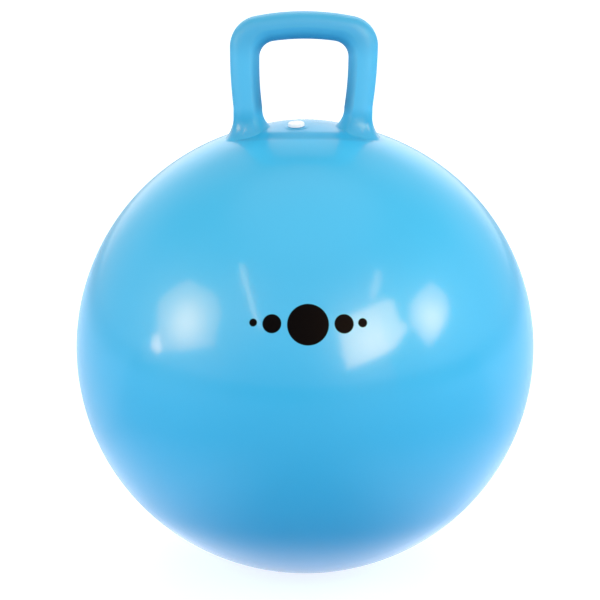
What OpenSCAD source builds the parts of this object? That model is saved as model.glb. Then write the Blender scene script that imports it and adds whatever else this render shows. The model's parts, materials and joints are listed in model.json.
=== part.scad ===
// Hopper ball: a blown-up ball with a hollow loop handle, a valve seat and a push-in plug.
// All sizes are in millimetres. The ball stands on its flat foot at z = 0, with +Z up.
// The loop handle lies in the XZ plane, and the front of the ball faces -Y.

/* [Ball] */
// Width of the blown-up ball at its middle
ball_w = 450; // [300:10:650]
// How far each pole lies inside a true sphere of that width
pole_drop = 3; // [1:0.5:8]
// Wall of the ball skin
skin_wall = 1.2; // [0.8:0.1:3]
// Radius of the flat patch that the ball stands on
foot_r = 32; // [15:1:50]

/* [Handle] */
// Width of the loop over its shoulders
handle_w = 143; // [120:1:170]
// Height of the loop's top above the ball's pole
handle_h = 109.5; // [90:0.5:130]
// Thickness of the top bar
bar_t = 25.5; // [20:0.5:32]
// Width of each leg just under the shoulder
leg_top_w = 29.6; // [22:0.2:34]
// Width of each leg just above the foot
leg_low_w = 27.6; // [22:0.2:34]
// Depth of the loop from front to back
handle_d = 28; // [22:0.5:34]
// Lean of each leg's outer side, wider towards the shoulders
leg_lean = 4.8; // [0:0.2:8]
// Radius of the arch along the top of the bar
arch_r = 235; // [180:5:400]
// Radius of each shoulder on the outside of the loop
shoulder_r = 26.5; // [22:0.5:34]
// Radius of each corner on the inside of the loop
corner_r = 11.5; // [8:0.5:14]
// Radius of the curve that widens each leg into its foot
flare_r = 24; // [18:0.5:30]
// How far that curve turns outwards before it meets the ball
flare_turn = 46; // [35:1:60]
// Thickness left at the rim of the flare
flare_rim = 1; // [0.6:0.1:2]
// Wall of the hollow handle
handle_wall = 2; // [1.2:0.1:3]
// How much of the skin each foot overlaps inside its rim
foot_lap = 1; // [0.5:0.1:2]

/* [Valve] */
// Radius of the valve seat's flange
seat_r = 16; // [13:0.5:18]
// Height of the seat's land above the skin
seat_h = 3.2; // [2:0.1:4.5]
// Thickness of the flange at its rim
seat_rim = 0.6; // [0.4:0.1:1.2]
// Clear skin between the flange and the left foot
seat_gap = 9.5; // [4:0.5:12]
// Direction of the valve from the left foot, turned to the front
seat_bearing = 15; // [0:1:30]
// Radius of the sleeve at the skin
sleeve_r = 9; // [7.5:0.25:11]
// Radius of the sleeve at its inner end
sleeve_tip_r = 7; // [6:0.25:8]
// Length of the sleeve below the skin
sleeve_len = 18; // [12:0.5:26]
// Radius of the bore through the seat
bore_r = 3.6; // [2.8:0.1:4.6]

/* [Plug] */
// Radius of the plug's head
head_r = 7.8; // [6.5:0.1:9]
// Thickness of the plug's head
head_t = 3.4; // [2.4:0.1:4.5]
// Radius of the head's rounded upper edge
head_round = 1.2; // [0.6:0.1:1.6]
// Radius of the shallow dish in the head
dish_r = 4.4; // [3:0.1:5]
// Depth of the dish
dish_depth = 0.5; // [0.2:0.1:0.9]
// Length of the stem below the head
stem_len = 21; // [16:0.5:26]
// How far the stem lies inside its ribs
rib_depth = 0.6; // [0.3:0.05:0.9]
// Height of one rib
rib_h = 2.2; // [1.4:0.1:2.8]
// Space from one rib to the next
rib_step = 4.2; // [3.4:0.1:5]
// Number of ribs on the stem
rib_count = 3; // [2:1:4]

/* [Hidden] */

// Gap between mouldings that are bonded together
bond_gap = 0.05;
// Running gap of the plug in its bore
plug_gap = 0.05;
// Gap under the plug's head
head_gap = 0.2;
// How far cuts run past what they cut
overrun = 5;
// Chamfer at the mouth of the bore
mouth_chamfer = 0.6;

// The skin's outline is a four-arc oval: a cap arc over each pole and a belt arc round the middle
half_w = ball_w / 2;
pole_r = half_w - pole_drop;
cap_r = half_w * half_w / pole_r;
cap_shift = cap_r - pole_r;
belt_r = (half_w * half_w + cap_shift * cap_shift - cap_r * cap_r) / (2 * (half_w - cap_r));
belt_shift = half_w - belt_r;
joint_angle = atan2(cap_shift, belt_shift);
foot_cut = cap_r - sqrt(cap_r * cap_r - foot_r * foot_r);
mid_z = pole_r - foot_cut;
pole_z = mid_z + pole_r;
cap_z = pole_z - cap_r;

// Handle: fixed counts of rings and points along and round the loop
ring_points = 32;
flare_steps = 6;
leg_steps = 3;
corner_steps = 7;
arch_steps = 5;
// The section's front has a soft crease: outside it the section is a rounded box, inside it slopes away.
// A roundness of 1 is an ellipse, less is squarer and more is flatter towards a wedge.
outer_round = 0.66;
inner_round = 1.25;
// Place of the crease across the bar and across a leg, from -1 at the inner side to 1 at the outer
bar_crease = 0.05;
leg_crease = -0.35;
half_d = handle_d / 2;
half_loop = handle_w / 2;
arch_in_r = arch_r - bar_t;
top_z = pole_z + handle_h;
arch_z = top_z - arch_r;
flare_h = flare_r * sin(flare_turn);
flare_end = asin((flare_h - flare_rim) / flare_r);
flare_reach = flare_r * (1 - cos(flare_end));
lining_end = asin(flare_h / (flare_r + handle_wall));
lining_reach = flare_r - (flare_r + handle_wall) * cos(lining_end);

// Each side of the loop: the leg's line, then its corner arc, then the arch
out_corner = corner_arc(half_loop, shoulder_r, arch_r);
in_corner = corner_arc(half_loop - leg_top_w, corner_r, arch_in_r);
leg_low_z = pole_z + flare_h;
out_low_x = half_loop - (out_corner[1] - leg_low_z) * tan(leg_lean);
in_low_x = out_low_x - leg_low_w;
foot_x = (out_low_x + in_low_x) / 2;
foot_half_w = leg_low_w / 2;
foot_hole_r = min(foot_half_w, half_d) + lining_reach - foot_lap;

// Valve place, on the skin beside the left foot and turned towards the front
seat_reach = max(foot_half_w, half_d) + flare_reach + seat_gap + seat_r;
seat_x = -foot_x + seat_reach * cos(seat_bearing);
seat_y = -seat_reach * sin(seat_bearing);
seat_tilt = asin(norm([seat_x, seat_y]) / cap_r);
seat_turn = atan2(seat_y, seat_x);
seat_rim_z = seat_rim + sqrt(cap_r * cap_r - seat_r * seat_r) - cap_r;
dome_rise = seat_h - seat_rim_z;
dome_r = (seat_r * seat_r + dome_rise * dome_rise) / (2 * dome_rise);
land_z = dome_z(head_r);

// Centre of the arc that turns a leg at x = side into an arch, and the angle where the arch takes over
function corner_arc(side, r, arch) =
    let (x = side - r)
    let (z = arch_z + sqrt(pow(arch - r, 2) - x * x))
    [x, z, atan2(z - arch_z, x)];

// Height of the skin's upper cap over a point, and of the seat's dome over its axis
function cap_height(p) = cap_z + sqrt(cap_r * cap_r - p[0] * p[0] - p[1] * p[1]);
function dome_z(r) = seat_h - dome_r + sqrt(dome_r * dome_r - r * r);

// Point on the outer or inner side of the loop for one step of each stretch
function leg_side(low_x, corner, r, share) =
    let (low = [low_x, leg_low_z])
    let (high = [corner[0] + r, corner[1]])
    low + share * (high - low);
function corner_side(corner, r, share) =
    let (turn = share * corner[2])
    [corner[0] + r * cos(turn), corner[1] + r * sin(turn)];
function arch_side(corner, arch, share) =
    let (turn = corner[2] + share * (90 - corner[2]))
    [arch * cos(turn), arch_z + arch * sin(turn)];

// Outer point, inner point and crease up the right half of the loop, from above the foot to the top
function loop_pairs() = concat(
    [for (i = [0:leg_steps - 1])
        let (s = i / leg_steps)
        [leg_side(out_low_x, out_corner, shoulder_r, s), leg_side(in_low_x, in_corner, corner_r, s), leg_crease]],
    [for (i = [0:corner_steps - 1])
        let (s = i / corner_steps)
        let (crease = leg_crease + s * (bar_crease - leg_crease))
        [corner_side(out_corner, shoulder_r, s), corner_side(in_corner, corner_r, s), crease]],
    [for (i = [0:arch_steps])
        let (s = i / arch_steps)
        [arch_side(out_corner, arch_r, s), arch_side(in_corner, arch_in_r, s), bar_crease]]
);

// Point i of the section's outline, from -1 to 1 across the loop and through its depth
function unit_section(i, crease) =
    let (a = 360 * i / ring_points)
    let (outer = cos(a) >= 0)
    let (share = outer ? outer_round : inner_round)
    let (side = outer ? 1 - crease : -1 - crease)
    [crease + side * pow(abs(cos(a)), share), sign(sin(a)) * pow(abs(sin(a)), share)];

// Ring of the loop's section between one outer and inner point, drawn in by a wall
function loop_ring(pair, wall) =
    let (mid = (pair[0] + pair[1]) / 2)
    let (arm = (pair[0] - pair[1]) / 2)
    let (across = arm * (norm(arm) - wall) / norm(arm))
    [for (i = [0:ring_points - 1])
        let (u = unit_section(i, pair[2]))
        [mid[0] + across[0] * u[0], (half_d - wall) * u[1], mid[1] + across[1] * u[0]]];

// Ring of the flare that widens the foot, at one angle of its concave arc, drawn in by a wall
function flare_ring(angle, wall) =
    let (r = flare_r + wall)
    let (reach = flare_r - r * cos(angle))
    let (rise = max(flare_h - r * sin(angle), 0))
    [for (i = [0:ring_points - 1])
        let (u = unit_section(i, leg_crease))
        let (x = foot_x + foot_half_w * u[0] + reach * u[0] / norm(u))
        let (y = half_d * u[1] + reach * u[1] / norm(u))
        [x, y, cap_height([x, y]) + bond_gap + rise]];

// All rings of the right half, from the ball to the top of the bar, for one wall
function half_rings(wall, end) = concat(
    wall > 0 ? [] : [drop_ring(flare_ring(end, wall))],
    [for (i = [0:flare_steps - 1]) flare_ring(end * (1 - i / flare_steps), wall)],
    [for (pair = loop_pairs()) loop_ring(pair, wall)]
);
function drop_ring(ring) = [for (p = ring) [p[0], p[1], cap_height(p) + bond_gap]];

// The left half is the right half's mirror image, with its points in the same order round the loop
function mirror_ring(ring) = [for (p = ring) [-p[0], p[1], p[2]]];
function whole_rings(wall, end) =
    let (right = half_rings(wall, end))
    let (count = len(right))
    concat(right, [for (i = [count - 2:-1:0]) mirror_ring(right[i])]);
function reversed(list) = [for (i = [len(list) - 1:-1:0]) list[i]];
function flatten(lists) = [for (list = lists) each list];

// Two triangles for each cell of a grid of rings that closes on itself both ways
function grid_faces(rings, sides) = [
    for (j = [0:rings - 1])
        for (i = [0:sides - 1])
            let (near = j * sides)
            let (far = (j + 1) % rings * sides)
            let (next = (i + 1) % sides)
            each [[near + i, far + i, far + next], [near + i, far + next, near + next]]
];

// Right half of the skin's oval, less a wall on every side
module oval_half(wall) {
    reach = (cap_r + overrun) * 2;
    intersection() {
        union() {
            translate([belt_shift, 0])
                circle(r = belt_r - wall, $fn = 128);
            for (up = [1, -1])
                scale([1, up])
                    intersection() {
                        translate([0, -cap_shift])
                            circle(r = cap_r - wall, $fn = 128);
                        translate([0, -cap_shift])
                            polygon([[0, 0], [reach * cos(joint_angle), reach * sin(joint_angle)], [0, reach]]);
                    }
        }
        translate([0, -mid_z + wall])
            square([half_w + overrun, mid_z + pole_r + overrun]);
    }
}

// Moves children from the origin to the valve's place, with +Z along the skin's normal
module at_valve() {
    translate([0, 0, cap_z])
        rotate([0, seat_tilt, seat_turn])
            translate([0, 0, cap_r])
                children();
}

module ball_skin() {
    color([0.35, 0.75, 0.93])
        difference() {
            translate([0, 0, mid_z])
                rotate_extrude($fn = 128)
                    difference() {
                        oval_half(0);
                        oval_half(skin_wall);
                    }
            for (side = [-1, 1])
                translate([side * foot_x, 0, mid_z])
                    cylinder(r = foot_hole_r, h = pole_r + overrun, $fn = 64);
            at_valve()
                translate([0, 0, -sleeve_len])
                    cylinder(r = sleeve_r + bond_gap, h = sleeve_len + overrun, $fn = 64);
        }
}

module handle() {
    rings = concat(whole_rings(0, flare_end), reversed(whole_rings(handle_wall, lining_end)));
    color([0.3, 0.71, 0.91])
        polyhedron(points = flatten(rings), faces = grid_faces(len(rings), ring_points), convexity = 6);
}

module valve_seat() {
    color([0.33, 0.73, 0.92])
        at_valve()
            rotate_extrude($fn = 64)
                difference() {
                    union() {
                        difference() {
                            intersection() {
                                translate([0, seat_h - dome_r])
                                    circle(r = dome_r, $fn = 128);
                                translate([0, land_z - seat_r])
                                    square([seat_r, seat_r]);
                            }
                            translate([0, -cap_r])
                                circle(r = cap_r + bond_gap, $fn = 128);
                        }
                        polygon([
                            [0, -sleeve_len], [sleeve_tip_r, -sleeve_len], [sleeve_r, -skin_wall - bond_gap],
                            [sleeve_r, seat_h / 2], [0, seat_h / 2]
                        ]);
                    }
                    translate([0, -sleeve_len - overrun])
                        square([bore_r, sleeve_len + seat_h + overrun * 2]);
                    polygon([
                        [0, land_z - mouth_chamfer - bore_r], [bore_r + mouth_chamfer + overrun, land_z + overrun],
                        [0, land_z + overrun]
                    ]);
                }
}

module valve_plug() {
    rib_r = bore_r - plug_gap;
    stem_r = rib_r - rib_depth;
    head_z = land_z + head_gap;
    color([0.94, 0.95, 0.95])
        at_valve()
            translate([0, 0, head_z])
                rotate_extrude($fn = 64)
                    difference() {
                        union() {
                            square([head_r, head_t - head_round]);
                            square([head_r - head_round, head_t]);
                            translate([head_r - head_round, head_t - head_round])
                                circle(r = head_round, $fn = 32);
                            polygon([
                                [0, -stem_len], [stem_r - rib_depth, -stem_len],
                                [stem_r, -stem_len + rib_h], [stem_r, 0], [0, 0]
                            ]);
                            for (i = [0:rib_count - 1])
                                translate([0, -stem_len + rib_h + i * rib_step])
                                    polygon([[0, 0], [stem_r, 0], [rib_r, rib_h], [stem_r, rib_h], [0, rib_h]]);
                        }
                        translate([0, head_t - dish_depth])
                            square([dish_r, head_t]);
                    }
}

ball_skin();
handle();
valve_seat();
valve_plug();
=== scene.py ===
import json
import math

import bmesh
import bpy
from mathutils import Matrix, Vector


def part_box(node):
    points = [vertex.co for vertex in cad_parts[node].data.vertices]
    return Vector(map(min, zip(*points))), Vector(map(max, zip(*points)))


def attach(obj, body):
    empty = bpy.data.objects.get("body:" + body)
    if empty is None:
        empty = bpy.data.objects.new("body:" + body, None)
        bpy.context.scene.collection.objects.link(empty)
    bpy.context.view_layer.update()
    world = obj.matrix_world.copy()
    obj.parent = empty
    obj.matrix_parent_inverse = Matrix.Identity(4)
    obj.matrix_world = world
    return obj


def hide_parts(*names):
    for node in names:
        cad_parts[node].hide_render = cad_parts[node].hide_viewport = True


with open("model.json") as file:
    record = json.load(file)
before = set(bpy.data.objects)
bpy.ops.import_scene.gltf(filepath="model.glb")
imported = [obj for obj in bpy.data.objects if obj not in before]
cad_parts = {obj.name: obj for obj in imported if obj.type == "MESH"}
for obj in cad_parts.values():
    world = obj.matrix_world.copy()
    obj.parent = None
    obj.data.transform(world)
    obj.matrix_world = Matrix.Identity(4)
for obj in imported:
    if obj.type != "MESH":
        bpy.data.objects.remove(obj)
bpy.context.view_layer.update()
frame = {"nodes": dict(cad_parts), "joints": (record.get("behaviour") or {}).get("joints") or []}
print("frame loaded:", ", ".join(sorted(frame["nodes"])))

# the camera stands where the photographer's did: the ball's middle is 2 m away, seen from 18 degrees up
camera = {
    "place": (0.0, -1.90211, 0.83778),
    "pitch": 16.69,  # degrees down
    "yaw": 0.147,  # degrees to the left
    "lens": 121.36,  # mm
    "sensor": 36,
    "farthest": 60,
}


def addCamera():
    turn = (math.radians(90 - camera["pitch"]), 0, math.radians(camera["yaw"]))
    bpy.ops.object.camera_add(location=camera["place"], rotation=turn)
    made = bpy.context.object
    made.name = "photoCamera"
    made.data.lens = camera["lens"]
    made.data.sensor_width = camera["sensor"]
    made.data.clip_end = camera["farthest"]
    bpy.context.scene.camera = made


addCamera()
print("camera placed")

sharpEdge = math.radians(40)  # edges that turn by more than this stay crisp

# the blown-up ball: a four-arc oval with its width and pole taken from the frame
ball = {
    "poleDrop": 0.003,  # how far each pole lies inside a true sphere
    "ringStep": 0.004,  # from one ring to the next
    "collarRadius": 0.093,  # where the handle's rings meet the ball's
    "collarRings": 24,
    "collarFade": 0.016,  # the skin begins to lean with the loop over this distance
    "mirrorWeld": 0.00001,  # points closer than this are joined
    "weld": 0.000005,
    "footRatios": (0.75, 0.5, 0.4),  # of each ring to the last, where the flat foot closes
    "hillReach": (0.063, 0.0425),  # the skin rises to a low hill between the feet, under the valve
    "hillRise": 0.0022,
    "hillTop": 0.72,  # share of its reach that stays level
    "swellDepth": 0.0006,  # how much the blown-up skin wanders in from its true shape
    "swellSize": 0.13,  # from one swell to the next
    "swellStart": 0.002,  # the flat foot stays true, and the swell sets in over this height
    "swellFade": 0.04,
}

# the loop handle, from the middle of its bar down to the ball
handle = {
    "width": 0.1407,
    "barThick": 0.0263,
    "legTopWidth": 0.0285,
    "legLowWidth": 0.0278,
    "depth": 0.028,
    "legLean": 3.6,  # degrees
    "legBow": 0.0009,  # how far the air bows the legs out
    "sideways": (-0.0021, -0.0007),  # where the soft loop stands across the ball, at its feet and its bar
    "archRadius": 0.235,
    "shoulderRadius": 0.0285,
    "cornerRadius": 0.0150,
    "flareRadius": 0.024,
    "flareTurn": 46,  # degrees that the foot's curve turns outwards
    "toeRadius": 0.002,  # then it runs out on the ball in this small curve
    "outerRound": 0.66,  # the section: 1 is an ellipse, less is squarer, more slopes away
    "innerRound": 1.25,
    "barCrease": 0.05,  # place of the soft crease, -1 at the inner side and 1 at the outer
    "legCrease": -0.35,
    "points": 96,  # round the section, of which a third lie along the middle plane at the collar
    "archRings": 12,
    "cornerRings": 16,
    "legRings": 14,
    "easeRings": 4,
    "flareRings": 16,
    "toeRings": 5,
}

skinLow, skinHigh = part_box("ball_skin")
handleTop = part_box("handle")[1].z
halfWidth = (skinHigh.x - skinLow.x) / 2
poleHeight = skinHigh.z
poleRadius = halfWidth - ball["poleDrop"]
capRadius = halfWidth**2 / poleRadius
capShift = capRadius - poleRadius
beltRadius = (halfWidth**2 + capShift**2 - capRadius**2) / (2 * (halfWidth - capRadius))
beltShift = halfWidth - beltRadius
joinRise = math.atan2(capShift, beltShift)
middleHeight = poleHeight - poleRadius
capCentre = poleHeight - capRadius


def ballOutline(rise):
    # radius and height on the ball where its surface faces up by this angle
    if rise > joinRise:
        return capRadius * math.cos(rise), capCentre + capRadius * math.sin(rise)
    if rise < -joinRise:
        return capRadius * math.cos(rise), middleHeight + capShift + capRadius * math.sin(rise)
    return beltShift + beltRadius * math.cos(rise), middleHeight + beltRadius * math.sin(rise)


def clampShare(value):
    return min(max(value, 0), 1)


def smoothShare(value):
    value = clampShare(value)
    return value * value * (3 - 2 * value)


def hillHeight(x, y):
    reachX, reachY = ball["hillReach"]
    out = math.hypot(x / reachX, y / reachY)
    return ball["hillRise"] * smoothShare((1 - out) / (1 - ball["hillTop"]))


def capHeight(x, y):
    return capCentre + math.sqrt(capRadius**2 - x * x - y * y) + hillHeight(x, y)


archCentre = handleTop - handle["archRadius"]
archInner = handle["archRadius"] - handle["barThick"]
halfLoop = handle["width"] / 2
halfDepth = handle["depth"] / 2


def cornerArc(side, radius, arch):
    # centre of the arc that turns a leg into the arch, and the angle where the arch takes over
    x = side - radius
    z = archCentre + math.sqrt((arch - radius) ** 2 - x * x)
    return Vector((x, z)), math.atan2(z - archCentre, x)


outerCorner, outerTurn = cornerArc(halfLoop, handle["shoulderRadius"], handle["archRadius"])
innerCorner, innerTurn = cornerArc(halfLoop - handle["legTopWidth"], handle["cornerRadius"], archInner)
flareEnd = math.radians(handle["flareTurn"])
flareHeight = handle["flareRadius"] * math.sin(flareEnd) + handle["toeRadius"] * (1 - math.sin(flareEnd))
legLowHeight = poleHeight + flareHeight
outerLow = halfLoop - (outerCorner.y - legLowHeight) * math.tan(math.radians(handle["legLean"]))
innerLow = outerLow - handle["legLowWidth"]
footMiddle = (outerLow + innerLow) / 2
footHalf = handle["legLowWidth"] / 2


def polar(radius, angle):
    return Vector((radius * math.cos(angle), radius * math.sin(angle)))


def loopStations():
    # outer point, inner point and crease, from the middle of the bar down one leg
    stations = []
    base = Vector((0, archCentre))
    barCrease, legCrease = handle["barCrease"], handle["legCrease"]
    for k in range(handle["archRings"]):
        share = 1 - k / handle["archRings"]
        outer = base + polar(handle["archRadius"], outerTurn + share * (math.pi / 2 - outerTurn))
        inner = base + polar(archInner, innerTurn + share * (math.pi / 2 - innerTurn))
        stations.append((outer, inner, barCrease))
    for k in range(handle["cornerRings"]):
        share = 1 - k / handle["cornerRings"]
        outer = outerCorner + polar(handle["shoulderRadius"], share * outerTurn)
        inner = innerCorner + polar(handle["cornerRadius"], share * innerTurn)
        stations.append((outer, inner, legCrease + share * (barCrease - legCrease)))
    outerHigh = outerCorner + Vector((handle["shoulderRadius"], 0))
    innerHigh = innerCorner + Vector((handle["cornerRadius"], 0))
    for k in range(handle["legRings"] + 1):
        share = k / handle["legRings"]
        bow = Vector((handle["legBow"] * math.sin(math.pi * share), 0))
        outer = outerHigh.lerp(Vector((outerLow, legLowHeight)), share)
        inner = innerHigh.lerp(Vector((innerLow, legLowHeight)), share)
        stations.append((outer + bow, inner + bow, legCrease))
    return stations


def unitSection(crease):
    # a rounded box outside the crease, which slopes away inside it
    points = []
    for k in range(handle["points"]):
        turn = 2 * math.pi * k / handle["points"]
        outside = 4 * k <= handle["points"] or 4 * k >= 3 * handle["points"]
        side = 1 - crease if outside else -1 - crease
        share = handle["outerRound"] if outside else handle["innerRound"]
        v = math.copysign(abs(math.sin(turn)) ** share, math.sin(turn))
        points.append(Vector((crease + side * abs(math.cos(turn)) ** share, v)))
    return points


def sectionRing(outer, inner, crease):
    middle = (outer + inner) / 2
    arm = (outer - inner) / 2
    ring = []
    for p in unitSection(crease):
        ring.append(Vector((middle.x + arm.x * p.x, halfDepth * p.y, middle.y + arm.y * p.x)))
    return ring


def flareRing(turn):
    # the foot widens along a large curve, then runs out on the ball along a small one
    large, small = handle["flareRadius"], handle["toeRadius"]
    first, last = min(turn, flareEnd), max(turn, flareEnd)
    reach = large * (1 - math.cos(first)) + small * (math.cos(flareEnd) - math.cos(last))
    rise = large * (math.sin(flareEnd) - math.sin(first)) + small * (1 - math.sin(last))
    ring = []
    for p in unitSection(handle["legCrease"]):
        x = footMiddle + footHalf * p.x + reach * p.x / p.length
        y = halfDepth * p.y + reach * p.y / p.length
        ring.append(Vector((x, y, capHeight(x, y) + rise)))
    return ring


def collarRing():
    # half a circle round the pole, closed by a line through it
    ring = []
    third = handle["points"] // 3
    for k in range(handle["points"]):
        if third <= k <= 2 * third:
            x, y = 0, ball["collarRadius"] * (1 - 2 * (k - third) / third)
        else:
            turn = (k if k < third else k - handle["points"]) / third * math.pi / 2
            x, y = polar(ball["collarRadius"], turn)
        ring.append(Vector((x, y, capHeight(x, y))))
    return ring


def mixRings(first, second, share):
    return [a.lerp(b, share) for a, b in zip(first, second)]


def ontoBall(ring):
    return [Vector((p.x, p.y, capHeight(p.x, p.y))) for p in ring]


def halfLoopRings():
    rings = [sectionRing(*station) for station in loopStations()]
    legEnd, flareStart = rings[-1], flareRing(0)
    for k in range(1, handle["easeRings"]):
        rings.append(mixRings(legEnd, flareStart, k / handle["easeRings"]))
    for k in range(handle["flareRings"]):
        rings.append(flareRing(flareEnd * k / handle["flareRings"]))
    for k in range(handle["toeRings"] + 1):
        rings.append(flareRing(flareEnd + (math.pi / 2 - flareEnd) * k / handle["toeRings"]))
    toe, collar = rings[-1], collarRing()
    for k in range(1, ball["collarRings"] + 1):
        rings.append(ontoBall(mixRings(toe, collar, k / ball["collarRings"])))
    return rings


def deselectAll():
    bpy.ops.object.select_all(action="DESELECT")


def extrudeRing(mesh, layer, ring):
    # pulls the selected edge loop out into the next ring and lays each point in its place
    bpy.ops.mesh.extrude_region_move(TRANSFORM_OT_translate={"value": (0, 0, 0)})
    for v in mesh.verts:
        if v.select:
            v.co = ring[v[layer]]


def makeMoulding():
    # half of the loop with the crown round its foot, ring after ring, then mirrored
    rings = halfLoopRings()
    deselectAll()
    middle = (rings[0][0] + rings[0][handle["points"] // 2]) / 2
    bpy.ops.mesh.primitive_circle_add(vertices=handle["points"], radius=halfDepth, location=middle)
    moulding = bpy.context.object
    moulding.name = "skinMoulding"
    bpy.ops.object.transform_apply(location=True, rotation=True, scale=True)
    bpy.ops.object.mode_set(mode="EDIT")
    mesh = bmesh.from_edit_mesh(moulding.data)
    layer = mesh.verts.layers.int.new("ringPlace")
    mesh.verts.ensure_lookup_table()
    for k, v in enumerate(mesh.verts):
        v[layer] = k
        v.co = rings[0][k]
    for ring in rings[1:]:
        extrudeRing(mesh, layer, ring)
    bmesh.update_edit_mesh(moulding.data)
    bpy.ops.object.mode_set(mode="OBJECT")

    mirror = moulding.modifiers.new("otherHalf", "MIRROR")
    mirror.merge_threshold = ball["mirrorWeld"]
    bpy.ops.object.modifier_apply(modifier=mirror.name)
    moulding.data.attributes.remove(moulding.data.attributes["ringPlace"])
    return moulding


def growBall(moulding):
    # the rest of the ball, pulled down from the crown's edge to the flat foot
    bpy.ops.object.mode_set(mode="EDIT")
    mesh = bmesh.from_edit_mesh(moulding.data)
    bpy.ops.mesh.select_mode(type="VERT")
    bpy.ops.mesh.select_all(action="DESELECT")
    for e in mesh.edges:
        if e.is_boundary:
            e.select_set(True)
    startRise = math.acos(ball["collarRadius"] / capRadius)
    endRise = -math.asin((middleHeight + capShift) / capRadius)
    steps = round((startRise - endRise) * halfWidth / ball["ringStep"])
    radius, height = ballOutline(startRise)
    for k in range(1, steps + 1):
        nextRadius, nextHeight = ballOutline(startRise + (endRise - startRise) * k / steps)
        drop = (0, 0, nextHeight - height)
        bpy.ops.mesh.extrude_region_move(TRANSFORM_OT_translate={"value": drop})
        ratio = nextRadius / radius
        bpy.ops.transform.resize(value=(ratio, ratio, 1), center_override=(0, 0, nextHeight))
        radius, height = nextRadius, nextHeight
    for ratio in ball["footRatios"]:
        bpy.ops.mesh.extrude_region_move(TRANSFORM_OT_translate={"value": (0, 0, 0)})
        bpy.ops.transform.resize(value=(ratio, ratio, 1), center_override=(0, 0, height))
    bpy.ops.mesh.merge(type="CENTER")
    bpy.ops.mesh.select_all(action="SELECT")
    bpy.ops.mesh.remove_doubles(threshold=ball["weld"])
    bpy.ops.mesh.normals_make_consistent(inside=False)
    bpy.ops.object.mode_set(mode="OBJECT")


def swellSkin(moulding):
    # blown-up vinyl is never quite true, which shows in its reflections
    texture = bpy.data.textures.new("swell", "CLOUDS")
    texture.noise_scale = ball["swellSize"]
    texture.noise_depth = 0
    texture.noise_basis = "IMPROVED_PERLIN"
    group = moulding.vertex_groups.new(name="loose")
    for v in moulding.data.vertices:
        weight = clampShare((v.co.z - ball["swellStart"]) / ball["swellFade"])
        group.add([v.index], weight, "REPLACE")
    swell = moulding.modifiers.new("swell", "DISPLACE")
    swell.texture = texture
    swell.texture_coords = "LOCAL"
    swell.strength = ball["swellDepth"]
    swell.mid_level = 1
    swell.vertex_group = group.name
    bpy.ops.object.modifier_apply(modifier=swell.name)
    moulding.vertex_groups.clear()


def leanHandle(moulding):
    # the soft loop stands a little to one side, with the skin round it
    low, high = handle["sideways"]
    for v in moulding.data.vertices:
        inside = ball["collarRadius"] - math.hypot(v.co.x, v.co.y)
        if v.co.z > middleHeight and inside > 0:
            near = smoothShare(inside / ball["collarFade"])
            up = clampShare((v.co.z - poleHeight) / (handleTop - poleHeight))
            x = v.co.x + near * (low + (high - low) * up)
            v.co.z += (1 - up) * (capHeight(x, v.co.y) - capHeight(v.co.x, v.co.y))
            v.co.x = x


# painted shade on the loop, as heights over the ball's pole and shares of the deepest blue
loopShade = {
    "middle": 0.02,  # a point in the loop's opening, which its shaded sides face
    "legStart": 0.004,
    "legFade": 0.02,
    "outsideShare": 0.2,
    "facingPower": 1.8,
    "barStart": 0.06,
    "barFade": 0.03,
    "barShare": 0.32,
}


def paintLoopShade(moulding):
    # painted shade: most where the loop faces its own opening, less on its outer side, some in the whole
    # bar
    middle = Vector((0, 0, poleHeight + loopShade["middle"]))
    loopShadeShare = moulding.data.attributes.new("loopShadeShare", "FLOAT", "POINT")
    for v in moulding.data.vertices:
        toward = middle - v.co
        toward.y = 0
        facing = v.normal.dot(toward.normalized())
        height = v.co.z - poleHeight
        inside = smoothShare((height - loopShade["legStart"]) / loopShade["legFade"])
        inside *= abs(facing) ** loopShade["facingPower"]
        if facing <= 0:
            inside *= loopShade["outsideShare"]
        bar = loopShade["barShare"] * smoothShare((height - loopShade["barStart"]) / loopShade["barFade"])
        loopShadeShare.data[v.index].value = max(inside, bar)


moulding = makeMoulding()
growBall(moulding)
leanHandle(moulding)
swellSkin(moulding)
paintLoopShade(moulding)
print("ball and handle moulded:", len(moulding.data.polygons), "faces")

# the valve stands on the skin where the plug's joint axis leaves the ball
valveAxis = Vector(frame["joints"][0]["axis"]).normalized()
valvePlace = Vector((0, 0, capCentre)) + capRadius * valveAxis
valveFrame = Matrix.Translation(valvePlace) @ valveAxis.to_track_quat("Z", "Y").to_matrix().to_4x4()

seat = {
    "reach": 0.0115,  # where the mound runs out on the skin
    "landRadius": 0.0078,
    "landHeight": 0.00247,
    "landInset": 0.001,
    "boreRadius": 0.0036,
    "mouthRound": 0.0006,
    "mouthSteps": 4,
    "slopeSteps": 10,
    "slopeFall": 1.6,  # how steeply the mound falls, and how full it stays
    "slopeBelly": 0.6,
    "rimSink": 0.00006,  # its edge lies this far in the skin
    "rimInset": 0.001,
    "rimDepth": 0.0008,
    "sleeveRadius": 0.009,
    "sleeveTipRadius": 0.007,
    "sleeveStart": 0.0014,  # below the skin
    "sleeveLength": 0.018,
    "wellGap": 0.0001,
    "wellPoints": 64,
    "wellLength": 2.6,  # of the sleeve's, half of it outside the ball
    "weld": 0.000002,
    "steps": 72,
}


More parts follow.
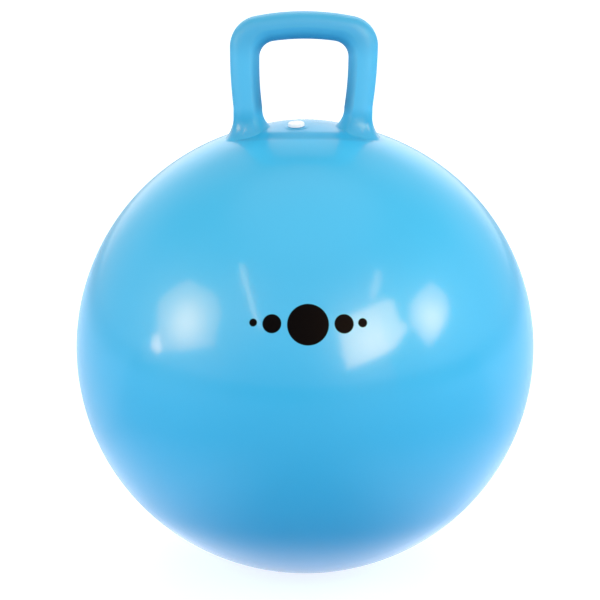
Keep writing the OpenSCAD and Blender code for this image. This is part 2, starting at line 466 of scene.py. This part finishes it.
def spinProfile(name, profile, steps):
    # a strip of edges turned once round the valve's axis, then set in its place on the ball
    deselectAll()
    bpy.ops.mesh.primitive_plane_add(size=0.001, location=(0, 0, 0))
    made = bpy.context.object
    made.name = name
    bpy.ops.object.mode_set(mode="EDIT")
    bpy.ops.mesh.merge(type="CENTER")
    mesh = bmesh.from_edit_mesh(made.data)
    last = Vector((profile[0][0], 0, profile[0][1]))
    for v in mesh.verts:
        v.co = last
    for r, z in profile[1:]:
        point = Vector((r, 0, z))
        bpy.ops.mesh.extrude_region_move(TRANSFORM_OT_translate={"value": point - last})
        last = point
    bpy.ops.mesh.select_all(action="SELECT")
    bpy.ops.mesh.spin(steps=steps, angle=2 * math.pi, center=(0, 0, 0), axis=(0, 0, 1))
    bpy.ops.mesh.select_all(action="SELECT")
    bpy.ops.mesh.remove_doubles(threshold=seat["weld"])
    bpy.ops.mesh.normals_make_consistent(inside=False)
    bpy.ops.object.mode_set(mode="OBJECT")
    made.matrix_world = valveFrame
    bpy.ops.object.transform_apply(location=True, rotation=True, scale=True)
    bpy.ops.object.shade_smooth_by_angle(angle=sharpEdge)
    return made


def hillSkin(r):
    # height of the hill's skin at this distance from the valve's axis
    return ball["hillRise"] + math.sqrt(capRadius**2 - r * r) - capRadius


def moundProfile():
    # up the bore, over its rounded mouth and the level land, down the slope and back along the sleeve
    bore, mouth, top = seat["boreRadius"], seat["mouthRound"], seat["landHeight"]
    points = [(bore, -seat["sleeveLength"]), (bore, top - mouth * 2), (bore, top - mouth)]
    for k in range(1, seat["mouthSteps"] + 1):
        turn = math.pi / 2 * k / seat["mouthSteps"]
        points.append((bore + mouth * (1 - math.cos(turn)), top - mouth * (1 - math.sin(turn))))
    points.append((seat["landRadius"] - seat["landInset"], top))
    for k in range(seat["slopeSteps"] + 1):
        share = k / seat["slopeSteps"]
        r = seat["landRadius"] + share * (seat["reach"] - seat["landRadius"])
        fall = (1 - share) ** seat["slopeFall"] * (1 + seat["slopeBelly"] * share)
        points.append((r, hillSkin(r) + (top - hillSkin(r)) * fall - seat["rimSink"] * share))
    points.append((seat["reach"] - seat["rimInset"], hillSkin(seat["reach"]) - seat["rimDepth"]))
    points.append((seat["sleeveRadius"], -seat["sleeveStart"]))
    points.append((seat["sleeveTipRadius"], -seat["sleeveLength"]))
    points.append((bore, -seat["sleeveLength"]))
    return points


def cutWell(moulding):
    # the skin is open where the seat's sleeve goes into the ball
    deselectAll()
    radius = seat["sleeveRadius"] + seat["wellGap"]
    length = seat["sleeveLength"] * seat["wellLength"]
    bpy.ops.mesh.primitive_cylinder_add(vertices=seat["wellPoints"], radius=radius, depth=length)
    cutter = bpy.context.object
    cutter.matrix_world = valveFrame
    deselectAll()
    moulding.select_set(True)
    bpy.context.view_layer.objects.active = moulding
    well = moulding.modifiers.new("well", "BOOLEAN")
    well.operation = "DIFFERENCE"
    well.solver = "EXACT"
    well.object = cutter
    bpy.ops.object.modifier_apply(modifier=well.name)
    bpy.data.objects.remove(cutter)
    bpy.ops.object.shade_smooth_by_angle(angle=sharpEdge)


valveSeat = spinProfile("valveSeat", moundProfile(), seat["steps"])
cutWell(moulding)
print("valve seat spun and its well cut")

plug = {
    "headGap": 0.0002,
    "headRadius": 0.0078,
    "headThick": 0.0034,
    "headRound": 0.0012,
    "headEase": 0.0003,  # the small bevel under its edge
    "roundSteps": 6,
    "dishRadius": 0.0044,
    "dishDepth": 0.0005,
    "dishEdge": 0.0006,  # the dish begins this far outside its radius, and falls over the slope
    "dishSlope": 0.0014,
    "stemLength": 0.021,
    "neckHeight": 0.0006,
    "neckFlare": 0.0004,
    "ribDepth": 0.0006,
    "ribHeight": 0.0022,
    "ribRise": 0.92,  # share of a rib's height that is its cone
    "ribStep": 0.0042,
    "ribs": 3,
    "ribGap": 0.00005,
    "steps": 72,
}


def plugProfile():
    # up the stem with its ribs, round the head and down into its dish
    base = seat["landHeight"] + plug["headGap"]
    ribRadius = seat["boreRadius"] - plug["ribGap"]
    stemRadius = ribRadius - plug["ribDepth"]
    low = base - plug["stemLength"]
    points = [(0, low), (stemRadius - plug["ribDepth"], low)]
    points.append((stemRadius, low + plug["ribHeight"]))
    for k in range(plug["ribs"]):
        foot = low + plug["ribHeight"] + k * plug["ribStep"]
        points.append((ribRadius, foot + plug["ribHeight"] * plug["ribRise"]))
        points.append((ribRadius, foot + plug["ribHeight"]))
        points.append((stemRadius, foot + plug["ribHeight"]))
        if k < plug["ribs"] - 1:
            points.append((stemRadius, foot + plug["ribStep"]))
    points.append((stemRadius, base - plug["neckHeight"]))
    points.append((stemRadius + plug["neckFlare"], base))
    points.append((plug["headRadius"] - plug["headEase"], base))
    points.append((plug["headRadius"], base + plug["headEase"]))
    top = base + plug["headThick"]
    bend = plug["headRound"]
    edge = plug["headRadius"] - bend
    for k in range(plug["roundSteps"] + 1):
        turn = math.pi / 2 * k / plug["roundSteps"]
        points.append((edge + bend * math.cos(turn), top - bend * (1 - math.sin(turn))))
    for k in range(plug["roundSteps"] + 1):
        share = k / plug["roundSteps"]
        r = plug["dishRadius"] + plug["dishEdge"] - share * plug["dishSlope"]
        points.append((r, top - plug["dishDepth"] * (1 - math.cos(math.pi * share)) / 2))
    points.append((0, top - plug["dishDepth"]))
    return points


valvePlug = spinProfile("valvePlug", plugProfile(), plug["steps"])
print("plug spun")

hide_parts("ball_skin", "handle")
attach(moulding, "ball")
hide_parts("valve_seat")
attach(valveSeat, "ball")
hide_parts("valve_plug")
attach(valvePlug, "plug")

vinyl = {
    "blue": (0.034, 0.455, 0.745),
    "paleBlue": (0.041, 0.480, 0.770),
    "gripBlue": (0.086, 0.508, 0.785),
    "shadeBlue": (0.016, 0.210, 0.405),  # painted shade: on the loop, most on its inner side and in the bar, and round the feet
    "cloudScale": 6,  # from blue to pale blue
    "cloudDetail": 3,
    "gripFade": (-0.004, 0.008),  # heights over the ball's pole where skin turns to handle
    "legFade": (0.006, 0.022),
    # how dark the painted shade round the feet gets
    "footShade": 0.30,
    "footReach": (0.076, 0.042),  # an oval of painted shade round both feet, and how softly it ends
    "footEdge": (1.06, 0.94),
    "footFade": (-0.02, -0.01),
    "ballRough": 0.33,
    "gripRough": 0.42,  # the handle is duller than the ball
    "smearRough": 0.06,
    "smearScale": 14,
    "smearDetail": 5,
    "ior": 1.39,
    "coatWeight": 0.8,
    "coatRough": 0.13,
    "bloom": (0.62, 0.80, 0.92),  # the pale bloom that soft vinyl shows at a slant
    "bloomWeight": 0.22,
    "bloomRough": 0.2,
    "grain": 0.12,
    "grainScale": 420,
    "grainDetail": 2,
    "grainDepth": 0.00004,
    "print": (0.004, 0.004, 0.005),
    "printRough": 0.5,
}

# a generic print: one row of round dots, largest in the middle
dots = {
    "middle": (0.0027, 0.3060),  # across the ball, and up
    "radii": (0.0185, 0.0088, 0.0045),
    "places": (0.0, 0.0315, 0.0478),  # to each side
    "edge": 0.0004,
}

# the plug's satin white plastic
plastic = {
    "white": (0.83, 0.86, 0.88),
    "brightWhite": (0.90, 0.92, 0.93),
    "rough": (0.3, 0.45),
    "ior": 1.5,
    "grain": 0.1,
    "grainScale": 260,
    "grainDetail": 2,
    "grainDepth": 0.00005,
}


def feed(tree, value, socket):
    # a colour or a number is set on the socket, and anything else is linked to it
    if isinstance(value, tuple):
        socket.default_value = (*value, 1)
    elif isinstance(value, (int, float)):
        socket.default_value = value
    else:
        tree.links.new(value, socket)


def addNode(tree, kind, **settings):
    made = tree.nodes.new(kind)
    for key, value in settings.items():
        setattr(made, key, value)
    return made


def mathNode(tree, operation, *values):
    made = addNode(tree, "ShaderNodeMath", operation=operation)
    for socket, value in zip(made.inputs, values):
        feed(tree, value, socket)
    return made.outputs["Value"]


def multiply(tree, first, *others):
    for value in others:
        first = mathNode(tree, "MULTIPLY", first, value)
    return first


def mixNode(tree, share, first, second, kind="FLOAT"):
    made = addNode(tree, "ShaderNodeMix", data_type=kind)
    for name, value in (("Factor", share), ("A", first), ("B", second)):
        feed(tree, value, made.inputs[name])
    return made.outputs["Result"]


def fadeNode(tree, value, low, high, start=0.0, end=1.0):
    # a soft step from start to end as the value goes from low to high
    made = addNode(tree, "ShaderNodeMapRange", interpolation_type="SMOOTHSTEP")
    for name, number in (("From Min", low), ("From Max", high), ("To Min", start), ("To Max", end)):
        feed(tree, number, made.inputs[name])
    feed(tree, value, made.inputs["Value"])
    return made.outputs["Result"]


def heightFade(tree, height, fade):
    return fadeNode(tree, height, poleHeight + fade[0], poleHeight + fade[1])


def splitNode(tree, vector):
    made = addNode(tree, "ShaderNodeSeparateXYZ")
    feed(tree, vector, made.inputs["Vector"])
    return [made.outputs[axis] for axis in "XYZ"]


def farNode(tree, vector, point=(0, 0, 0)):
    made = addNode(tree, "ShaderNodeVectorMath", operation="DISTANCE")
    made.inputs[1].default_value = point
    feed(tree, vector, made.inputs[0])
    return made.outputs["Value"]


def noiseNode(tree, vector, scale, detail):
    made = addNode(tree, "ShaderNodeTexNoise")
    for name, value in (("Vector", vector), ("Scale", scale), ("Detail", detail)):
        feed(tree, value, made.inputs[name])
    return made.outputs["Fac"]


def objectPlace(tree):
    return addNode(tree, "ShaderNodeTexCoord").outputs["Object"]


def startMaterial(name):
    made = bpy.data.materials.new(name)
    made.use_nodes = True
    return made, made.node_tree, made.node_tree.nodes["Principled BSDF"]


def setShader(tree, shader, values):
    for name, value in values.items():
        feed(tree, value, shader.inputs[name])


def addBump(tree, shader, height, strength, distance):
    bump = addNode(tree, "ShaderNodeBump")
    for name, value in (("Height", height), ("Strength", strength), ("Distance", distance)):
        feed(tree, value, bump.inputs[name])
    feed(tree, bump.outputs["Normal"], shader.inputs["Normal"])


# the group's inputs, and the vinyl's values that go in
groupValues = {
    "Blue": vinyl["blue"],
    "Pale Blue": vinyl["paleBlue"],
    "Grip Blue": vinyl["gripBlue"],
    "Shade Blue": vinyl["shadeBlue"],
    "Foot Shade": vinyl["footShade"],
    "Ball Rough": vinyl["ballRough"],
    "Grip Rough": vinyl["gripRough"],
}


def vinylGroup():
    # colour with painted shade, roughness, shine and height of glossy moulded vinyl
    group = bpy.data.node_groups.new("mouldedVinyl", "ShaderNodeTree")
    for name, value in groupValues.items():
        kind = "NodeSocketColor" if isinstance(value, tuple) else "NodeSocketFloat"
        group.interface.new_socket(name=name, in_out="INPUT", socket_type=kind)
    group.interface.new_socket(name="Color", in_out="OUTPUT", socket_type="NodeSocketColor")
    for name in ("Roughness", "Shine", "Height"):
        group.interface.new_socket(name=name, in_out="OUTPUT", socket_type="NodeSocketFloat")
    inside = addNode(group, "NodeGroupInput").outputs
    outside = addNode(group, "NodeGroupOutput").inputs
    place = objectPlace(group)
    height = splitNode(group, place)[2]
    grip = heightFade(group, height, vinyl["gripFade"])
    leg = heightFade(group, height, vinyl["legFade"])

    # painted shade round the feet, and on the loop where its attribute says so
    reachX, reachY = vinyl["footReach"]
    squeeze = addNode(group, "ShaderNodeVectorMath", operation="MULTIPLY")
    squeeze.inputs[1].default_value = (1 / reachX, 1 / reachY, 0)
    feed(group, place, squeeze.inputs[0])
    foot = fadeNode(group, farNode(group, squeeze.outputs["Vector"]), *vinyl["footEdge"])
    skin = mathNode(group, "SUBTRACT", 1.0, leg)
    foot = multiply(group, foot, inside["Foot Shade"], heightFade(group, height, vinyl["footFade"]), skin)
    loop = addNode(group, "ShaderNodeAttribute", attribute_name="loopShadeShare").outputs["Fac"]
    paintedShade = mathNode(group, "MAXIMUM", foot, loop)

    cloud = noiseNode(group, place, vinyl["cloudScale"], vinyl["cloudDetail"])
    color = mixNode(group, cloud, inside["Blue"], inside["Pale Blue"], "RGBA")
    color = mixNode(group, leg, color, inside["Grip Blue"], "RGBA")
    # painted shade darkens the colour towards the deepest blue
    color = mixNode(group, paintedShade, color, inside["Shade Blue"], "RGBA")
    smear = noiseNode(group, place, vinyl["smearScale"], vinyl["smearDetail"])
    rough = mixNode(group, grip, inside["Ball Rough"], inside["Grip Rough"])
    rough = mathNode(group, "ADD", rough, multiply(group, smear, vinyl["smearRough"]))
    feed(group, color, outside["Color"])
    feed(group, rough, outside["Roughness"])
    feed(group, mathNode(group, "SUBTRACT", 1.0, grip), outside["Shine"])
    feed(group, noiseNode(group, place, vinyl["grainScale"], vinyl["grainDetail"]), outside["Height"])
    return group


def dotMask(tree):
    # 1 inside the dots and 0 outside, the same on both sides of the middle dot
    x, y, z = splitNode(tree, objectPlace(tree))
    middle, height = dots["middle"]
    side = mathNode(tree, "ABSOLUTE", mathNode(tree, "SUBTRACT", x, middle))
    join = addNode(tree, "ShaderNodeCombineXYZ")
    for name, value in (("X", side), ("Y", y), ("Z", z)):
        feed(tree, value, join.inputs[name])
    total = None
    for radius, across in zip(dots["radii"], dots["places"]):
        depth = -math.sqrt(poleRadius**2 - across**2 - (height - middleHeight) ** 2)
        far = farNode(tree, join.outputs["Vector"], (across, depth, height))
        mask = fadeNode(tree, far, radius + dots["edge"], radius - dots["edge"])
        total = mask if total is None else mathNode(tree, "MAXIMUM", total, mask)
    return total


def vinylMaterial(name, group, printed):
    made, tree, shader = startMaterial(name)
    body = addNode(tree, "ShaderNodeGroup", node_tree=group)
    for key, value in groupValues.items():
        feed(tree, value, body.inputs[key])
    color = body.outputs["Color"]
    rough = body.outputs["Roughness"]
    coat = multiply(tree, body.outputs["Shine"], vinyl["coatWeight"])
    if printed:
        mask = dotMask(tree)
        color = mixNode(tree, mask, color, vinyl["print"], "RGBA")
        rough = mixNode(tree, mask, rough, vinyl["printRough"])
        coat = mixNode(tree, mask, coat, 0.0)
        # as a metal of so dark a colour, the ink has none of the vinyl's gloss
        feed(tree, mask, shader.inputs["Metallic"])
    setShader(tree, shader, {
        "Base Color": color,
        "Roughness": rough,
        "IOR": vinyl["ior"],
        "Coat Weight": coat,
        "Coat Roughness": vinyl["coatRough"],
        "Sheen Weight": vinyl["bloomWeight"],
        "Sheen Roughness": vinyl["bloomRough"],
        "Sheen Tint": vinyl["bloom"],
    })
    addBump(tree, shader, body.outputs["Height"], vinyl["grain"], vinyl["grainDepth"])
    return made


def plugWhite():
    made, tree, shader = startMaterial("plugWhite")
    cloud = noiseNode(tree, objectPlace(tree), plastic["grainScale"], plastic["grainDetail"])
    setShader(tree, shader, {
        "Base Color": mixNode(tree, cloud, plastic["white"], plastic["brightWhite"], "RGBA"),
        "Roughness": mixNode(tree, cloud, *plastic["rough"]),
        "IOR": plastic["ior"],
    })
    addBump(tree, shader, cloud, plastic["grain"], plastic["grainDepth"])
    return made


def paint(piece, material):
    piece.data.materials.clear()
    piece.data.materials.append(material)


mouldedVinyl = vinylGroup()
paint(moulding, vinylMaterial("printedVinyl", mouldedVinyl, True))
paint(valveSeat, vinylMaterial("seatVinyl", mouldedVinyl, False))
paint(valvePlug, plugWhite())
print("materials made")

# a plain pale studio, first its floor
ground = {
    "size": 24.0,
    "color": (0.32, 0.475, 0.66),
    "rough": 0.9,
    "gloss": 0.1,
    "near": 0.80,  # how white it is seen close to the ball, and far from it
    "far": 1.0,
    "fade": (0.25, 1.2),
    "underShine": 0.75,  # how bright it looks in the gloss: under the ball, to its sides and behind it
    "underReach": (0.2, 0.12),
    "sideShine": 0.60,
    "sideStart": (0.03, 0.24),
    "sideReach": (0.6, 0.25),
    "behindShine": 0.31,
    "behindStart": (-0.1, 0.1),
}


def addFloor():
    deselectAll()
    bpy.ops.mesh.primitive_plane_add(size=ground["size"], location=(0, 0, 0))
    floor = bpy.context.object
    floor.name = "floor"
    made, tree, shader = startMaterial("paleFloor")
    place = objectPlace(tree)
    x, y = splitNode(tree, place)[:2]
    far = farNode(tree, place)
    under = fadeNode(tree, far, *ground["underReach"], end=ground["underShine"])
    side = fadeNode(tree, mathNode(tree, "ABSOLUTE", x), *ground["sideStart"], end=ground["sideShine"])
    side = multiply(tree, side, fadeNode(tree, far, *ground["sideReach"]))
    behind = fadeNode(tree, y, *ground["behindStart"], end=ground["behindShine"])
    shine = mathNode(tree, "MAXIMUM", mathNode(tree, "ADD", under, side), behind)
    white = fadeNode(tree, far, *ground["fade"], ground["near"], ground["far"])
    rays = addNode(tree, "ShaderNodeLightPath").outputs
    seen = multiply(tree, white, rays["Is Camera Ray"])
    mirrored = multiply(tree, shine, rays["Is Glossy Ray"])
    setShader(tree, shader, {
        "Base Color": ground["color"],
        "Roughness": ground["rough"],
        "Specular IOR Level": ground["gloss"],
        "Emission Color": (1, 1, 1),
        "Emission Strength": mathNode(tree, "MAXIMUM", seen, mirrored),
    })
    paint(floor, made)


# the lamps light the object, and the cards only shine in it. Both stand on a sphere round the ball
studio = {
    "distance": 1.8,
    "cardTint": (1.0, 0.575, 0.25),
}

# degrees round the ball and above the floor, width and height in degrees, radiance
lamps = {
    "frontLamp": (8, 40, 84, 44, 1.1),
    "rightLamp": (77, 19, 42, 36, 3.35),
    "leftLamp": (-65, 19, 60, 38, 1.85),
    "backLamp": (180, 40, 70, 40, 3.4),
}

# radiance at the edge and in the middle, then the middle's place, its reach and the corners in degrees
cards = {
    "rightCard": {
        "edge": 9.6,
        "core": 14.5,
        "middle": (33, 17),
        "reach": 17,
        "corners": (
            (16, 30), (33, 33), (45, 35), (49, 33), (48, 25), (52, 20), (42, 13), (19, 7), (17, 16),
        ),
    },
    "farCard": {
        "edge": 6.0,
        "core": 14.5,
        "middle": (66, 20),
        "reach": 12,
        "corners": ((76, 32), (80, 25), (79, 20), (74, 16), (60, 9), (53, 21), (56, 28), (63, 31)),
    },
    "leftCard": {
        "edge": 4.6,
        "core": 13.8,
        "middle": (-60, 20),
        "reach": 15,
        "corners": (
            (-81, 21), (-77, 28), (-71, 35), (-51, 35), (-44, 29), (-43, 14), (-58, 8), (-70, 5), (-75, 12),
        ),
    },
    "leftSpark": {
        "edge": 14.0,
        "core": 14.0,
        "middle": (-72, 7),
        "reach": 5,
        "corners": ((-74, 12), (-68, 9), (-71, 3), (-77, 5)),
    },
    "rightStreak": {
        "edge": 6.5,
        "core": 6.5,
        "middle": (44, 42),
        "reach": 5,
        "corners": ((48, 48), (51, 46), (40, 36), (37, 38)),
    },
    "leftStreak": {
        "edge": 14.0,
        "core": 14.0,
        "middle": (-34, 38),
        "reach": 5,
        "corners": ((-47, 51), (-43, 50), (-21, 24), (-24, 27)),
    },
}


def wayTo(around, up):
    turn, rise = math.radians(around), math.radians(up)
    return Vector((math.sin(turn) * math.cos(rise), -math.cos(turn) * math.cos(rise), math.sin(rise)))


def studioPoint(around, up):
    return Vector((0, 0, middleHeight)) + wayTo(around, up) * studio["distance"]


def studioLength(degrees):
    return 2 * studio["distance"] * math.tan(math.radians(degrees / 2))


def addLamp(name, around, up, wide, high, radiance):
    turn = wayTo(around, up).to_track_quat("Z", "Y").to_euler()
    bpy.ops.object.light_add(type="AREA", location=studioPoint(around, up), rotation=turn)
    lamp = bpy.context.object
    lamp.name = name
    lamp.data.shape = "RECTANGLE"
    lamp.data.size = studioLength(wide)
    lamp.data.size_y = studioLength(high)
    lamp.data.energy = radiance * math.pi * lamp.data.size * lamp.data.size_y
    lamp.visible_glossy = False


def addCard(name, values):
    deselectAll()
    bpy.ops.mesh.primitive_circle_add(vertices=len(values["corners"]), radius=0.1, fill_type="NGON")
    card = bpy.context.object
    card.name = name
    for v, corner in zip(card.data.vertices, values["corners"]):
        v.co = studioPoint(*corner)
    made, tree, shader = startMaterial(name)
    far = farNode(tree, objectPlace(tree), studioPoint(*values["middle"]))
    fade = studio["distance"] * math.radians(values["reach"])
    setShader(tree, shader, {
        "Base Color": (0, 0, 0),
        "Emission Color": studio["cardTint"],
        "Emission Strength": fadeNode(tree, far, fade, 0.0, values["edge"], values["core"]),
    })
    paint(card, made)
    card.visible_camera = False
    card.visible_diffuse = False
    card.visible_shadow = False


# the room: its light, and how bright its parts look in the gloss
room = {
    "light": 0.38,
    "shine": 0.64,
    "wallShine": 0.34,  # a dim wall behind, high up
    "wallStart": (-0.1, 0.5),
    "wallHeight": (0.36, 0.66),
    "backdropShine": 1.25,  # a backdrop straight behind, low down
    "backdropStart": (0.72, 0.97),
    "ceilingShine": 1.15,
    "ceilingHeight": (0.80, 0.97),
}


def addWorld():
    world = bpy.data.worlds.new("paleStudio")
    bpy.context.scene.world = world
    world.use_nodes = True
    tree = world.node_tree
    way = addNode(tree, "ShaderNodeTexCoord").outputs["Generated"]
    y, z = splitNode(tree, way)[1:]
    high = fadeNode(tree, z, *room["wallHeight"])
    wall = multiply(tree, fadeNode(tree, y, *room["wallStart"]), high)
    low = mathNode(tree, "SUBTRACT", 1.0, high)
    backdrop = multiply(tree, low, fadeNode(tree, y, *room["backdropStart"]))
    shine = mixNode(tree, wall, room["shine"], room["wallShine"])
    shine = mixNode(tree, fadeNode(tree, z, *room["ceilingHeight"]), shine, room["ceilingShine"])
    shine = mixNode(tree, backdrop, shine, room["backdropShine"])
    rays = addNode(tree, "ShaderNodeLightPath").outputs
    level = mixNode(tree, rays["Is Glossy Ray"], room["light"], shine)
    level = mixNode(tree, rays["Is Camera Ray"], level, 1.0)
    setShader(tree, tree.nodes["Background"], {"Color": (1, 1, 1), "Strength": level})


addFloor()
for lampName, values in lamps.items():
    addLamp(lampName, *values)
for cardName, values in cards.items():
    addCard(cardName, values)
addWorld()
bpy.context.scene.view_settings.view_transform = "Standard"
print("studio lit")
